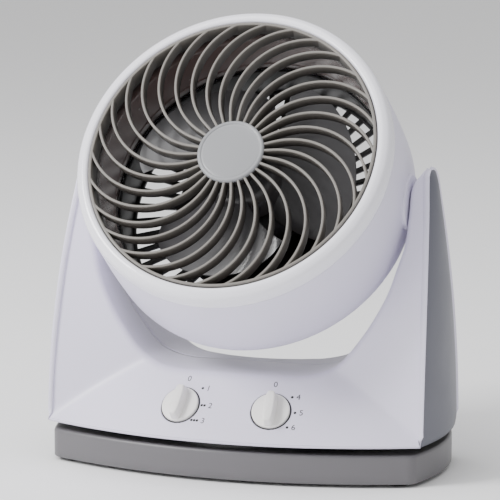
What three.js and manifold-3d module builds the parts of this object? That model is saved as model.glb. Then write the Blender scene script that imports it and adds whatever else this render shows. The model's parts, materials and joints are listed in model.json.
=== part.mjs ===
// Desk air circulator: a drum-shaped fan head hung in a U-shaped yoke that swivels on a flat plinth.
// Millimetres, +Z up, the grille looks towards -Y and upwards, +X is the right side seen from the front.
import * as THREE from 'three';
import { mergeVertices } from 'three/addons/utils/BufferGeometryUtils.js';
import Module from 'manifold-3d';

const wasm = await Module();
wasm.setup();

// ---- driving dimensions -------------------------------------------------------------------------
const GAP = 0.3;            // air left between pieces that touch
const DEPTH_SHIFT = -3.75;  // puts the middle of the whole depth over the origin
const ROUND = 36;           // facets round the large turned pieces
const SMALL_ROUND = 16;     // facets round the small turned pieces

const FOOT_HEIGHT = 3;
const PLINTH_TOP = 28.4;
const PLINTH_HALF_WIDTH = 164.5;  // to the corners; the sides bow out beyond them
const PLINTH_HALF_DEPTH = 64;
const PLINTH_SIDE_BOW = 9.5;
const PLINTH_END_BOW = 33;
const PLINTH_WALL = 2.5;
const SWIVEL_Y = 17;              // swivel axis, in the middle of the plinth

const YOKE_BOTTOM = 34.5;
const YOKE_RISE = 225.6;          // height over which the arm outline is drawn
const YOKE_WALL = 3;
const COVER_THICK = 3;
const SEAM = 0.5;                 // air between the side covers and the shells
const PANEL_BOW = 392.6;          // plan radius of the control panel
const PANEL_FRONT = -82;
const PANEL_SLOPE = 0.885;        // rearward run per unit of height
const SADDLE_TOP = 86;            // floor of the U
const SADDLE_HALF_WIDTH = 142;
const SADDLE_SIDE = [[55, 86], [74, 89.5], [90, 98], [108, 120], [121, 141], [130, 160], [136, 180],
  [140.6, 196], [142, 206]];      // right half of the U, from its floor up to the upright part
const PANEL_TILT = Math.atan(1 / PANEL_SLOPE);

const PIVOT = new THREE.Vector3(0, 22.8, 232.2);
const HEAD_TILT = THREE.MathUtils.degToRad(35);
const DRUM_RADIUS = 139.6;
const DRUM_WALL = 2.5;
const FACE = 80;                  // grille plane, ahead of the pivot along the fan axis
const GRILLE_RADIUS = 125.9;
const SPOKE_COUNT = 30;
const SPOKE_WIDTH = 2.3;
const SPOKE_DEPTH = 11;
const SPOKE_BEND = 61.2;          // radius of each spoke's arc
const SPOKE_SWEEP = THREE.MathUtils.degToRad(108);
const SPOKE_STRAIGHT_TO = 38;
const SPOKE_PHASE = THREE.MathUtils.degToRad(5.5);
const HUB_RADIUS = 29.2;
const DUCT_RADIUS = 122.6;
const GUARD_RADIUS = 122.4;
const REAR_RIBS = 48;
const SLOTS_FROM = 81.3;          // radii between which the rear guard is slotted
const SLOTS_TO = 117.7;
const BLADE_COUNT = 3;
const BLADE_TIP = 97;
const BLADE_HALF_ANGLE = THREE.MathUtils.degToRad(50);
const BLADE_MIDDLE = 31;          // height of the blades' middle line above the pivot plane

const KNOB_X = 40.6;
const KNOB_HEIGHT = 60.2;
const KNOB_RADIUS = 16.4;
const KNOB_YAW = Math.asin(KNOB_X / PANEL_BOW);
const KNOB_SHAFT = 3;
const SEAT_DEPTH = -1.6;          // floor of each knob's round recess, along the knob axis

const GEAR_MODULE = 2;
const PAN_GEAR_TEETH = 30;
const PAN_PINION_TEETH = 10;
const TILT_GEAR_TEETH = 9;
const TILT_PINION_TEETH = 8;

// ---- finishes -----------------------------------------------------------------------------------
const finish = (color, roughness, metalness = 0) => ({ color, roughness, metalness });
const WHITE = finish(0xe7e5ea, 0.4);
const BEZEL_WHITE = finish(0xf3f2f6, 0.22);
const GREY = finish(0x8f8f93, 0.45);
const COVER_GREY = finish(0x7d7e86, 0.42);
const GRILLE_GREY = finish(0xb4b0aa, 0.45);
const CAP_GREY = finish(0xacacae, 0.4);
const BROWN = finish(0x6b5552, 0.3);
const BLACK = finish(0x1b1a1b, 0.45);
const BLADE_GREY = finish(0x3b3c3f, 0.35);
const RUBBER = finish(0x161616, 0.9);
const STEEL = finish(0xb9bbbf, 0.35, 1);
const CAST = finish(0x55575a, 0.6, 1);
const CREAM = finish(0xe9e5dd, 0.45);

// ---- solids -------------------------------------------------------------------------------------
// Turns a closed three.js geometry into a manifold solid whose faces point outwards.
function solid(geometry) {
  const bare = geometry.index ? geometry.toNonIndexed() : geometry.clone();
  bare.deleteAttribute('normal');
  bare.deleteAttribute('uv');
  const merged = mergeVertices(bare, 1e-4);
  const points = merged.attributes.position.array;
  const faces = [];
  const index = merged.index.array;
  let volume = 0;
  const [a, b, c] = [new THREE.Vector3(), new THREE.Vector3(), new THREE.Vector3()];
  for (let i = 0; i < index.length; i += 3) {
    const [p, q, r] = [index[i], index[i + 1], index[i + 2]];
    if (p === q || q === r || r === p) continue;
    faces.push([p, q, r]);
    a.fromArray(points, 3 * p);
    b.fromArray(points, 3 * q);
    c.fromArray(points, 3 * r);
    volume += a.dot(b.cross(c));
  }
  const turned = volume < 0 ? faces.map(([p, q, r]) => [p, r, q]) : faces;
  const triVerts = new Uint32Array(turned.flat());
  const vertProperties = new Float32Array(points);
  return new wasm.Manifold(new wasm.Mesh({ numProp: 3, vertProperties, triVerts }));
}

function toGeometry(body) {
  const mesh = body.getMesh();
  const geometry = new THREE.BufferGeometry();
  geometry.setAttribute('position', new THREE.BufferAttribute(new Float32Array(mesh.vertProperties), 3));
  geometry.setIndex(new THREE.BufferAttribute(new Uint32Array(mesh.triVerts), 1));
  return geometry;
}

const fan = new THREE.Group();
fan.name = 'air_circulator';
fan.position.y = DEPTH_SHIFT;

// Adds a named piece to a group from a geometry or a manifold solid.
function piece(group, name, shape, look) {
  const body = shape.isBufferGeometry ? solid(shape) : shape;
  const mesh = new THREE.Mesh(toGeometry(body), new THREE.MeshStandardMaterial(look));
  mesh.name = name;
  group.add(mesh);
}

// ---- shape helpers ------------------------------------------------------------------------------
const point = (x, y) => new THREE.Vector2(x, y);

// A turned piece about +Z from a closed profile of [radius, height] pairs.
function turned(profile, facets = ROUND) {
  const points = profile.map(([r, z]) => point(r, z));
  const closed = profile[0][0] === 0 ? points : [...points, points[0]];
  return new THREE.LatheGeometry(closed, facets).rotateX(Math.PI / 2);
}

// A cylinder or pipe about +Z between two heights.
function pipe(radius, low, high, bore = 0, facets = SMALL_ROUND) {
  if (bore > 0) return turned([[bore, low], [radius, low], [radius, high], [bore, high]], facets);
  const rod = new THREE.CylinderGeometry(radius, radius, high - low, facets);
  return rod.rotateX(Math.PI / 2).translate(0, 0, (low + high) / 2);
}

function block(width, depth, low, high) {
  return new THREE.BoxGeometry(width, depth, high - low).translate(0, 0, (low + high) / 2);
}

// An outline carried straight along +Z from zero, cut into steps so that it can be reshaped.
function carried(outline, depth, steps = 1, holes = []) {
  const shape = new THREE.Shape(outline);
  shape.holes = holes.map((hole) => new THREE.Path(hole));
  return new THREE.ExtrudeGeometry(shape, { depth, steps, bevelEnabled: false });
}

function flat(outline, low, high, holes = []) {
  return carried(outline, high - low, 1, holes).translate(0, 0, low);
}

// Moves every corner of a geometry to where rule(point) puts it.
function reshape(geometry, rule) {
  const position = geometry.attributes.position;
  const corner = new THREE.Vector3();
  for (let i = 0; i < position.count; i += 1) {
    rule(corner.fromBufferAttribute(position, i));
    position.setXYZ(i, corner.x, corner.y, corner.z);
  }
  return geometry;
}

const clamp = THREE.MathUtils.clamp;

// ---- plinth -------------------------------------------------------------------------------------
// Plan outline with four bowed sides and rounded corners, shrunk by inset.
function plinthOutline(inset) {
  const halfWidth = PLINTH_HALF_WIDTH - inset;
  const halfDepth = PLINTH_HALF_DEPTH - inset;
  const corner = 8;
  const steps = 7;
  const points = [];
  const arc = (from, to, bowX, bowY) => {
    for (let i = 0; i <= steps; i += 1) {
      const t = i / steps;
      const bow = 4 * t * (1 - t);
      points.push(point(from[0] + (to[0] - from[0]) * t + bowX * bow,
        SWIVEL_Y + from[1] + (to[1] - from[1]) * t + bowY * bow));
    }
  };
  arc([-halfWidth + corner, -halfDepth], [halfWidth - corner, -halfDepth], 0, -PLINTH_END_BOW + 2);
  arc([halfWidth, -halfDepth + corner], [halfWidth, halfDepth - corner], PLINTH_SIDE_BOW, 0);
  arc([halfWidth - corner, halfDepth], [-halfWidth + corner, halfDepth], 0, PLINTH_END_BOW - 2);
  arc([-halfWidth, halfDepth - corner], [-halfWidth, -halfDepth + corner], -PLINTH_SIDE_BOW, 0);
  return points;
}

const POST_RADIUS = 12;
const POST_TOP = 66;
const FOOT_RADIUS = 10;
const FOOT_X = 146;
const FOOT_Y = 50;
const CORD_HEIGHT = 15;

function buildPlinth() {
  const edge = 2;
  const raised = new THREE.ExtrudeGeometry(new THREE.Shape(plinthOutline(edge)), {
    depth: PLINTH_TOP - FOOT_HEIGHT - 2 * edge, bevelThickness: edge, bevelSize: edge, bevelSegments: 2,
  }).translate(0, 0, FOOT_HEIGHT + edge);
  const hollow = flat(plinthOutline(PLINTH_WALL), FOOT_HEIGHT - 1, PLINTH_TOP - PLINTH_WALL);
  const postHole = pipe(POST_RADIUS + 0.4, PLINTH_TOP - 9, PLINTH_TOP + 1).translate(0, SWIVEL_Y, 0);
  const rear = SWIVEL_Y + PLINTH_HALF_DEPTH + PLINTH_END_BOW - 2;
  const glandHole = pipe(5.3, -8, 4).rotateX(-Math.PI / 2).translate(0, rear, CORD_HEIGHT);
  piece(fan, 'plinth_shell', solid(raised).subtract(solid(hollow)).subtract(solid(postHole))
    .subtract(solid(glandHole)), GREY);
  const bottom = flat(plinthOutline(PLINTH_WALL + 0.5), FOOT_HEIGHT + GAP, FOOT_HEIGHT + 2.3);
  piece(fan, 'plinth_bottom', bottom, BLACK);

  const gland = turned([[3.6, -6.5], [5, -6.5], [5, 0.3], [7, 0.3], [6.4, 3.5], [3.6, 3.5]], 16);
  piece(fan, 'cord_gland', gland.rotateX(-Math.PI / 2).translate(0, rear, CORD_HEIGHT), BLACK);

  for (const [side, x] of [['left', -FOOT_X], ['right', FOOT_X]]) {
    for (const [end, y] of [['front', -FOOT_Y], ['rear', FOOT_Y]]) {
      const foot = turned([[0, 0], [FOOT_RADIUS - 1, 0], [FOOT_RADIUS, 0.8],
        [FOOT_RADIUS, FOOT_HEIGHT], [0, FOOT_HEIGHT]], 12);
      piece(fan, `foot_${end}_${side}`, foot.translate(x, SWIVEL_Y + y, 0), RUBBER);
    }
  }
  const weight = block(150, 60, FOOT_HEIGHT + 2.6, FOOT_HEIGHT + 8.6).translate(0, SWIVEL_Y, 0);
  piece(fan, 'ballast_plate', weight, CAST);

  const under = PLINTH_TOP - PLINTH_WALL - GAP;
  const bore = 8;
  const post = turned([[bore, under - 3.5], [28, under - 3.5], [28, under], [POST_RADIUS, under],
    [POST_RADIUS, POST_TOP], [bore, POST_TOP]], 24);
  piece(fan, 'swivel_post', post.translate(0, SWIVEL_Y, 0), STEEL);
  const clip = pipe(17, POST_TOP - 1.6, POST_TOP - 0.2, POST_RADIUS + 0.6);
  piece(fan, 'post_clip', clip.translate(0, SWIVEL_Y, 0), STEEL);
}

// ---- gears --------------------------------------------------------------------------------------
// Spur gear about +Z with straight-flanked teeth; turn sets the angle of the first tooth.
function gear(teeth, low, high, bore, turn = 0) {
  const pitch = (GEAR_MODULE * teeth) / 2;
  const tip = pitch + 0.75 * GEAR_MODULE;
  const root = pitch - 1.05 * GEAR_MODULE;
  const step = (2 * Math.PI) / teeth;
  const outline = [];
  for (let i = 0; i < teeth; i += 1) {
    const middle = turn + i * step;
    for (const [radius, share] of [[root, -0.3], [tip, -0.1], [tip, 0.1], [root, 0.3]]) {
      const angle = middle + share * step;
      outline.push(point(radius * Math.cos(angle), radius * Math.sin(angle)));
    }
  }
  const hole = [];
  for (let i = 0; i < SMALL_ROUND; i += 1) {
    const angle = (-2 * Math.PI * i) / SMALL_ROUND;
    hole.push(point(bore * Math.cos(angle), bore * Math.sin(angle)));
  }
  return flat(outline, low, high, [hole]);
}

const PAN_CENTRES = (GEAR_MODULE * (PAN_GEAR_TEETH + PAN_PINION_TEETH)) / 2;
const PINION_Y = SWIVEL_Y - PAN_CENTRES;
const MOTOR_SHAFT = 2;            // radius of both small drive motors' shafts

function buildSwivelDrive() {
  const halfTooth = Math.PI / PAN_PINION_TEETH;
  const [low, high] = [POST_TOP - 8, POST_TOP - 2];
  const wheel = gear(PAN_GEAR_TEETH, low, high, POST_RADIUS + 0.6, Math.PI / 2);
  piece(fan, 'pan_gear', wheel.translate(0, SWIVEL_Y, 0), BLACK);
  const pinion = gear(PAN_PINION_TEETH, low, high, MOTOR_SHAFT + GAP, -Math.PI / 2 + halfTooth);
  piece(fan, 'pan_pinion', pinion.translate(0, PINION_Y, 0), CREAM);
  const can = solid(pipe(22, YOKE_BOTTOM + 3.1, low - 0.6)).add(solid(pipe(MOTOR_SHAFT, low - 1, POST_TOP)));
  piece(fan, 'pan_motor', can.translate([0, PINION_Y, 0]), STEEL);
  piece(fan, 'turntable', pipe(88, PLINTH_TOP + GAP, YOKE_BOTTOM - GAP, POST_RADIUS + 0.5, ROUND)
    .translate(0, SWIVEL_Y, 0), BLACK);
}

// ---- yoke ---------------------------------------------------------------------------------------
const rise = (z) => clamp((z - 34) / YOKE_RISE, 0, 1.15);
const armFront = (z) => -40.4 + 57.3 * rise(z) ** 1.76;
const armRear = (z) => 78 - 38 * rise(z) ** 1.6;
const armEdge = (z) => 167.7 - 11.6 * rise(z) ** 2.36;
const sideBulge = (z) => 8.6 - 4 * rise(z);
const FRONT_SETBACK = 0.17;       // rearward fall of the front between the arms, as a share of width
const REAR_BOW = 12;
const SCOOP_EDGE = 40;            // rear edge of the U's floor, on the middle line
const SCOOP_SLOPE = 1.3;          // rearward run of the scooped face per unit of fall
const SCOOP_BOW = 0.005;
const ARM_SPAN = [30, 266];       // heights between which the arms' outer block is drawn
const BEYOND = 200;               // half length of the tools that pass right through the yoke

// The yoke's outer block: the plan outline at each height is fitted between the arm's front and rear
// edges, with bowed sides. side, front and rear are how far each face is moved inwards.
function yokeBlock({ side = 0, front = 0, rear = 0 }) {
  const [low, high] = ARM_SPAN;
  const straight = 0.9;           // share of each side kept clear of the corners
  const frontSpread = 0.99;
  const sideSteps = 5;
  const endSteps = 4;
  const outline = [];
  for (const [dx, dy] of [[1, -1], [1, 1], [-1, 1], [-1, -1]]) {
    const alongX = dx === dy;
    const steps = alongX ? endSteps : sideSteps;
    for (let i = 0; i <= steps; i += 1) {
      const t = straight * (2 * (i / steps) - 1);
      outline.push(alongX ? point(-dy * t * frontSpread, dy) : point(dx, -dy * t));
    }
  }
  return reshape(carried(outline, high - low, 6), (p) => {
    const z = low + p.z;
    const near = armFront(z) + front;
    const far = armRear(z) - rear;
    const halfWidth = armEdge(z) - side + sideBulge(z) * (1 - p.y * p.y);
    const inward = 1 - Math.abs(p.x);
    const x = p.x * halfWidth;
    const setback = FRONT_SETBACK * halfWidth * inward * (1 - p.y) / 2;
    const bow = REAR_BOW * (1 - p.x * p.x) * (1 + p.y) / 2;
    p.set(x, (near + far) / 2 + (p.y * (far - near)) / 2 + setback + bow, z);
  });
}

// The sloping control panel with the ground behind it, moved inwards by inset.
function panelWedge(inset, low = YOKE_BOTTOM) {
  const slopeLength = Math.hypot(1, PANEL_SLOPE);
  const run = (z) => PANEL_FRONT + PANEL_SLOPE * (z - 34) + inset * slopeLength;
  const top = SADDLE_TOP - inset;
  const halfWidth = armEdge(YOKE_BOTTOM) - inset - 0.2;
  const profile = [point(run(low), low), point(0, low), point(0, top), point(run(top), top)];
  return reshape(carried(profile, 2 * halfWidth, 8), (p) => {
    const x = p.z - halfWidth;
    const bow = PANEL_BOW - Math.sqrt(PANEL_BOW ** 2 - x * x);
    p.set(x, p.x + bow, p.y);
  });
}

// The space behind the scooped rear of the yoke's middle; ahead moves its face forwards.
function rearScoop(ahead) {
  const [low, high] = [20, 120];
  const face = SCOOP_EDGE - ahead;
  const profile = [point(face + SCOOP_SLOPE * (SADDLE_TOP - low), low), point(BEYOND, low),
    point(BEYOND, high), point(face, high), point(face, SADDLE_TOP)];
  const halfWidth = 172;
  return reshape(carried(profile, 2 * halfWidth, 12), (p) => {
    const x = p.z - halfWidth;
    p.set(x, p.x + SCOOP_BOW * x * x, p.y);
  });
}

// The space of the U, drawn in the XZ plane and carried through the yoke, grown by wall.
function saddle(wall) {
  const halfWidth = SADDLE_HALF_WIDTH + wall;
  const wider = halfWidth / SADDLE_HALF_WIDTH;
  const deeper = (PIVOT.z - SADDLE_TOP + wall) / (PIVOT.z - SADDLE_TOP);
  const half = SADDLE_SIDE.map(([x, z]) => point(x * wider, PIVOT.z - (PIVOT.z - z) * deeper));
  const curve = new THREE.SplineCurve(half).getPoints(10);
  const outline = [...curve.map((p) => point(-p.x, p.y)).reverse(), ...curve];
  const lip = [[0, 12], [2.5, 17.5], [7, 23.5], [14, 29], [14, 60]];
  for (const [out, up] of lip) outline.push(point(halfWidth + out, PIVOT.z + up));
  for (const [out, up] of lip.reverse()) outline.push(point(-halfWidth - out, PIVOT.z + up));
  return carried(outline, 2 * BEYOND).rotateX(Math.PI / 2).translate(0, BEYOND, 0);
}

// An outline drawn in the YZ plane, carried right across the yoke.
function acrossYoke(outline) {
  return reshape(carried(outline, 2 * BEYOND), (p) => p.set(p.z - BEYOND, p.x, p.y));
}

// Side view of the arms' rounded tips, carried across the yoke; the tip is shrunk by inset.
function armTips(inset) {
  const tipRadius = 16.8 - inset;
  const [tipY, tipZ] = [27.3, 244];
  const outline = [point(-BEYOND, 0), point(BEYOND, 0), point(BEYOND, tipZ)];
  const steps = 8;
  for (let i = 0; i <= steps; i += 1) {
    const angle = Math.PI * (i / steps);
    outline.push(point(tipY + tipRadius * Math.cos(angle), tipZ + tipRadius * Math.sin(angle)));
  }
  outline.push(point(-BEYOND, tipZ));
  return acrossYoke(outline);
}

// The arms' side view with both edges moved inwards by edge, carried across the yoke.
function armSides(edge) {
  const steps = 12;
  const [low, high] = ARM_SPAN;
  const heights = Array.from({ length: steps + 1 }, (_, i) => low + ((high - low) * i) / steps);
  const near = heights.map((z) => point(armFront(z) + edge, z));
  const far = heights.map((z) => point(armRear(z) - edge, z));
  return acrossYoke([...near, ...far.reverse()]);
}

// Large blocks that keep everything between two planes across X or across Y.
function widthSlab(from, to) {
  return solid(new THREE.BoxGeometry(to - from, 500, 500).translate((from + to) / 2, 0, BEYOND));
}

function depthSlab(from, to) {
  return solid(new THREE.BoxGeometry(500, to - from, 500).translate(0, (from + to) / 2, BEYOND));
}

// Height of the yoke's rear face at x, for pieces that sit on it.
function rearFace(x, z) {
  const share = x / armEdge(z);
  return armRear(z) + REAR_BOW * (1 - share * share);
}

// A frame standing on the control panel at x, with +Z along the knob axis and +Y towards OFF.
function panelFrame(x) {
  const frame = new THREE.Group();
  const bow = PANEL_BOW - Math.sqrt(PANEL_BOW ** 2 - x * x);
  frame.position.set(x, PANEL_FRONT + bow + PANEL_SLOPE * (KNOB_HEIGHT - 34), KNOB_HEIGHT);
  frame.rotation.order = 'ZXY';
  frame.rotation.set(PANEL_TILT, 0, Math.sign(x) * KNOB_YAW);
  fan.add(frame);
  frame.updateMatrix();
  return frame;
}

const SPLIT_GAP = 0.15;           // half the seam between the yoke's front and rear shells
const BUSH_RADIUS = 8.6;
const SCREW_PLACES = [[-120, 60], [-45, 46], [45, 46], [120, 60]];

function buildYoke(panelFrames) {
  const outer = solid(yokeBlock({})).intersect(solid(block(500, 500, YOKE_BOTTOM, 400)));
  const core = (side) => solid(yokeBlock({ side, front: -6, rear: -6 }));
  const between = (edge) => solid(armSides(edge));
  const tips = solid(armTips(0));
  const gapU = solid(saddle(0));

  const covers = outer.subtract(core(COVER_THICK)).intersect(between(4)).intersect(tips).subtract(gapU);
  const coverRoom = core(-10).subtract(core(COVER_THICK + SEAM)).intersect(between(4 - SEAM));
  piece(fan, 'side_cover_left', covers.intersect(widthSlab(-BEYOND, 0)), COVER_GREY);
  piece(fan, 'side_cover_right', covers.intersect(widthSlab(0, BEYOND)), COVER_GREY);

  const inside = COVER_THICK + SEAM + YOKE_WALL;
  const room = solid(yokeBlock({ side: inside, front: 3.2, rear: YOKE_WALL }))
    .intersect(solid(armTips(YOKE_WALL)))
    .add(solid(panelWedge(YOKE_WALL, 30)))
    .subtract(solid(rearScoop(YOKE_WALL * Math.hypot(1, SCOOP_SLOPE))))
    .subtract(solid(saddle(YOKE_WALL)));
  let shell = outer.add(solid(panelWedge(0))).subtract(coverRoom)
    .subtract(solid(rearScoop(0))).intersect(tips).subtract(gapU).subtract(room);

  const trunnionHole = pipe(BUSH_RADIUS + GAP, -152, 152).rotateY(Math.PI / 2);
  shell = shell.subtract(solid(trunnionHole.translate(0, PIVOT.y, PIVOT.z)));
  for (const frame of panelFrames) {
    const shaftHole = KNOB_SHAFT + 0.6;
    const seat = turned([[0, -9], [shaftHole, -9], [shaftHole, SEAT_DEPTH],
      [KNOB_RADIUS + 1, SEAT_DEPTH], [KNOB_RADIUS + 1, 6], [0, 6]], 20);
    shell = shell.subtract(solid(seat.applyMatrix4(frame.matrix)));
  }
  for (const [x, z] of SCREW_PLACES) {
    const hole = pipe(1.8, -8, 8, 0, 12).rotateX(Math.PI / 2).translate(x, rearFace(x, z), z);
    shell = shell.subtract(solid(hole));
  }
  piece(fan, 'yoke_front', shell.intersect(depthSlab(-BEYOND, PIVOT.y - SPLIT_GAP)), WHITE);
  piece(fan, 'yoke_rear', shell.intersect(depthSlab(PIVOT.y + SPLIT_GAP, BEYOND)), WHITE);

  const plateRoom = solid(yokeBlock({ side: inside + 0.5, front: 3.7, rear: YOKE_WALL + 0.5 }))
    .add(solid(panelWedge(YOKE_WALL + 0.5, 30)));
  const slab = solid(block(500, 500, YOKE_BOTTOM + 0.1, YOKE_BOTTOM + 2.6));
  const plateHole = solid(pipe(20, 20, 50).translate(0, SWIVEL_Y, 0));
  piece(fan, 'yoke_floor', plateRoom.intersect(slab).subtract(plateHole), BLACK);

  SCREW_PLACES.forEach(([x, z], i) => {
    const screw = turned([[0, -12], [1.4, -11], [1.4, 0.4], [3.4, 0.4], [2.6, 2.2], [0, 2.4]], 10);
    piece(fan, `yoke_screw_${i + 1}`, screw.rotateX(-Math.PI / 2).translate(x, rearFace(x, z), z), STEEL);
  });
  const capacitor = block(34, 16, YOKE_BOTTOM + 3, YOKE_BOTTOM + 27).translate(92, 25, 0);
  piece(fan, 'run_capacitor', capacitor, BLACK);
}

// ---- knobs and switches -------------------------------------------------------------------------
const BAR_HALF_WIDTH = 3.6;       // grip bar on top of each knob
const BAR_STRAIGHT = 10.6;
const BAR_TOP = 11.5;

function buildKnob(frame, name) {
  const skirtBottom = SEAT_DEPTH + 0.4;
  const skirt = turned([[0, skirtBottom], [KNOB_RADIUS, skirtBottom], [KNOB_RADIUS, 0.8],
    [KNOB_RADIUS - 1.2, 2.4], [0, 2.8]], 24);
  const barOutline = [];
  const barSteps = 5;
  for (const end of [1, -1]) {
    for (let i = 0; i <= barSteps; i += 1) {
      const angle = Math.PI * (i / barSteps);
      const y = BAR_STRAIGHT + BAR_HALF_WIDTH * Math.sin(angle);
      barOutline.push(point(end * BAR_HALF_WIDTH * Math.cos(angle), end * y));
    }
  }
  const bar = reshape(flat(barOutline, 1, BAR_TOP), (p) => {
    const taper = p.z > 5 ? 0.86 : 1;
    p.set(p.x * taper, p.y * taper, p.z);
  });
  const bore = pipe(KNOB_SHAFT + GAP, -4, 7);
  piece(frame, `${name}_knob`, solid(skirt).add(solid(bar)).subtract(solid(bore)), CREAM);
  piece(frame, `${name}_shaft`, pipe(KNOB_SHAFT, -14, 6.6), STEEL);
  const housing = solid(block(27, 27, -17, -6.4)).add(solid(pipe(5, -7, -5.7)));
  piece(frame, `${name}_switch`, housing.subtract(solid(pipe(KNOB_SHAFT + 0.4, -14.4, 0))), BLACK);
}

// ---- arm bearings and tilt drive ----------------------------------------------------------------
const TILT_CENTRES = (GEAR_MODULE * (TILT_GEAR_TEETH + TILT_PINION_TEETH)) / 2;
const TILT_GEAR_IN = 148.4;       // both faces of the tilt gears, measured from the middle of the fan
const TILT_GEAR_OUT = 151.4;
const PIN_RADIUS = 6;

function buildTiltBearings() {
  for (const [sideName, sign] of [['left', -1], ['right', 1]]) {
    const bore = PIN_RADIUS + 0.5;
    const bush = turned([[bore, 141.6], [BUSH_RADIUS, 141.6], [BUSH_RADIUS, 145.4],
      [BUSH_RADIUS + 2, 145.4], [BUSH_RADIUS + 2, 147.4], [bore, 147.4]], SMALL_ROUND);
    bush.rotateY(Math.PI / 2);
    if (sign < 0) bush.rotateY(Math.PI);
    piece(fan, `pivot_bush_${sideName}`, bush.translate(0, PIVOT.y, PIVOT.z), BLACK);
  }
  const pinionZ = PIVOT.z - TILT_CENTRES;
  const halfTooth = Math.PI / TILT_PINION_TEETH;
  const bore = MOTOR_SHAFT + GAP;
  const pinion = gear(TILT_PINION_TEETH, TILT_GEAR_IN, TILT_GEAR_OUT, bore, Math.PI + halfTooth);
  piece(fan, 'tilt_pinion', pinion.rotateY(Math.PI / 2).translate(0, PIVOT.y, pinionZ), CREAM);
  const shaft = solid(pipe(MOTOR_SHAFT, TILT_GEAR_IN - 1.2, 152));
  const can = solid(pipe(11, TILT_GEAR_OUT + 0.4, 156)).add(shaft);
  piece(fan, 'tilt_motor', can.rotate([0, 90, 0]).translate([0, PIVOT.y, pinionZ]), STEEL);
}

// ---- fan head: local +Z is the fan axis towards the grille, the origin is on the tilt axis --------
const head = new THREE.Group();
head.position.copy(PIVOT);
head.rotation.x = Math.PI / 2 - HEAD_TILT;
fan.add(head);

// Spoke centre line: straight out from the hub, then an arc that bends clockwise.
function spokeLine(steps) {
  const line = [point(HUB_RADIUS - 6, 0)];
  for (let i = 0; i <= steps; i += 1) {
    const bend = (i / steps) * SPOKE_SWEEP;
    const x = SPOKE_STRAIGHT_TO + SPOKE_BEND * Math.sin(bend);
    line.push(point(x, -SPOKE_BEND * (1 - Math.cos(bend))));
  }
  return line;
}

function spokeBar(turn) {
  const line = spokeLine(5);
  const left = [];
  const right = [];
  line.forEach((p, i) => {
    const next = line[Math.min(i + 1, line.length - 1)];
    const along = next.clone().sub(line[Math.max(i - 1, 0)]);
    const out = point(-along.y, along.x).normalize().multiplyScalar(SPOKE_WIDTH / 2);
    left.push(point(p.x + out.x, p.y + out.y));
    right.unshift(point(p.x - out.x, p.y - out.y));
  });
  return flat([...left, ...right], FACE - SPOKE_DEPTH, FACE).rotateZ(turn);
}

function buildGrille() {
  const outer = solid(pipe(GRILLE_RADIUS, FACE - 14, FACE + 0.1, GRILLE_RADIUS - 2.6, ROUND));
  let grille = solid(pipe(HUB_RADIUS - 0.4, FACE - SPOKE_DEPTH, FACE - 2.4, 0, SPOKE_COUNT)).add(outer);
  const within = solid(pipe(GRILLE_RADIUS - 1, FACE - 20, FACE + 5, 0, ROUND))
    .subtract(solid(pipe(HUB_RADIUS + 0.4, FACE - 2.1, FACE + 6, 0, SPOKE_COUNT)));
  for (let i = 0; i < SPOKE_COUNT; i += 1) {
    grille = grille.add(solid(spokeBar(SPOKE_PHASE + (2 * Math.PI * i) / SPOKE_COUNT)).intersect(within));
  }
  piece(head, 'front_grille', grille, GRILLE_GREY);
  const cap = turned([[0, FACE - 2.1], [HUB_RADIUS, FACE - 2.1], [HUB_RADIUS, FACE + 0.3],
    [HUB_RADIUS - 2, FACE + 0.9], [0, FACE + 1.4]], 30);
  piece(head, 'hub_cap', cap, CAP_GREY);
}

const DRUM_SEAM = 64;
const BOSS_RADIUS = 24;
const BOSS_FACE = 140.8;

function buildDrum() {
  const bezel = turned([[126.4, 66], [126.4, 78.9], [128, 80.4], [132, 80.4], [136.2, 77.6], [138, 72],
    [138.2, DRUM_SEAM + GAP], [135.7, DRUM_SEAM + GAP], [135.4, 72], [131.6, 77.8], [128.9, 77.8],
    [128.9, 66]], ROUND);
  piece(head, 'front_bezel', bezel, BEZEL_WHITE);

  const rear = -33;
  const drum = solid(turned([[138.2, DRUM_SEAM], [DRUM_RADIUS, 20], [139.2, -14], [137.4, -24],
    [130.5, rear], [124.4, rear], [124.4, rear + 2.5], [129.6, rear + 2.4], [135, -22.6],
    [136.7, -13.5], [DRUM_RADIUS - DRUM_WALL, 20], [135.7, DRUM_SEAM]], ROUND));
  let shell = drum;
  for (const sign of [-1, 1]) {
    const boss = solid(pipe(BOSS_RADIUS, 130, BOSS_FACE, 0, 24).rotateY(sign * Math.PI / 2));
    const within = solid(pipe(134.6, -60, 90, 0, ROUND));
    shell = shell.add(boss.subtract(within));
    shell = shell.subtract(solid(pipe(PIN_RADIUS + 0.3, 100, 150).rotateY(sign * Math.PI / 2)));
  }
  piece(head, 'drum_shell', shell, WHITE);
  piece(head, 'air_duct', pipe(DUCT_RADIUS + 2.2, 4.5, 65.5, DUCT_RADIUS, ROUND), BROWN);

  for (const [sideName, sign] of [['left', -1], ['right', 1]]) {
    const end = sign > 0 ? 153.4 : 151;
    const pin = turned([[0, 125.6], [14, 125.6], [14, 132.4], [PIN_RADIUS, 132.4],
      [PIN_RADIUS, end], [0, end]], SMALL_ROUND);
    piece(head, `tilt_pin_${sideName}`, pin.rotateY(sign * Math.PI / 2), STEEL);
  }
  const tiltGear = gear(TILT_GEAR_TEETH, TILT_GEAR_IN, TILT_GEAR_OUT, PIN_RADIUS + 0.15);
  piece(head, 'tilt_gear', tiltGear.rotateY(Math.PI / 2).rotateX(-head.rotation.x), CREAM);
}

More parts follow.
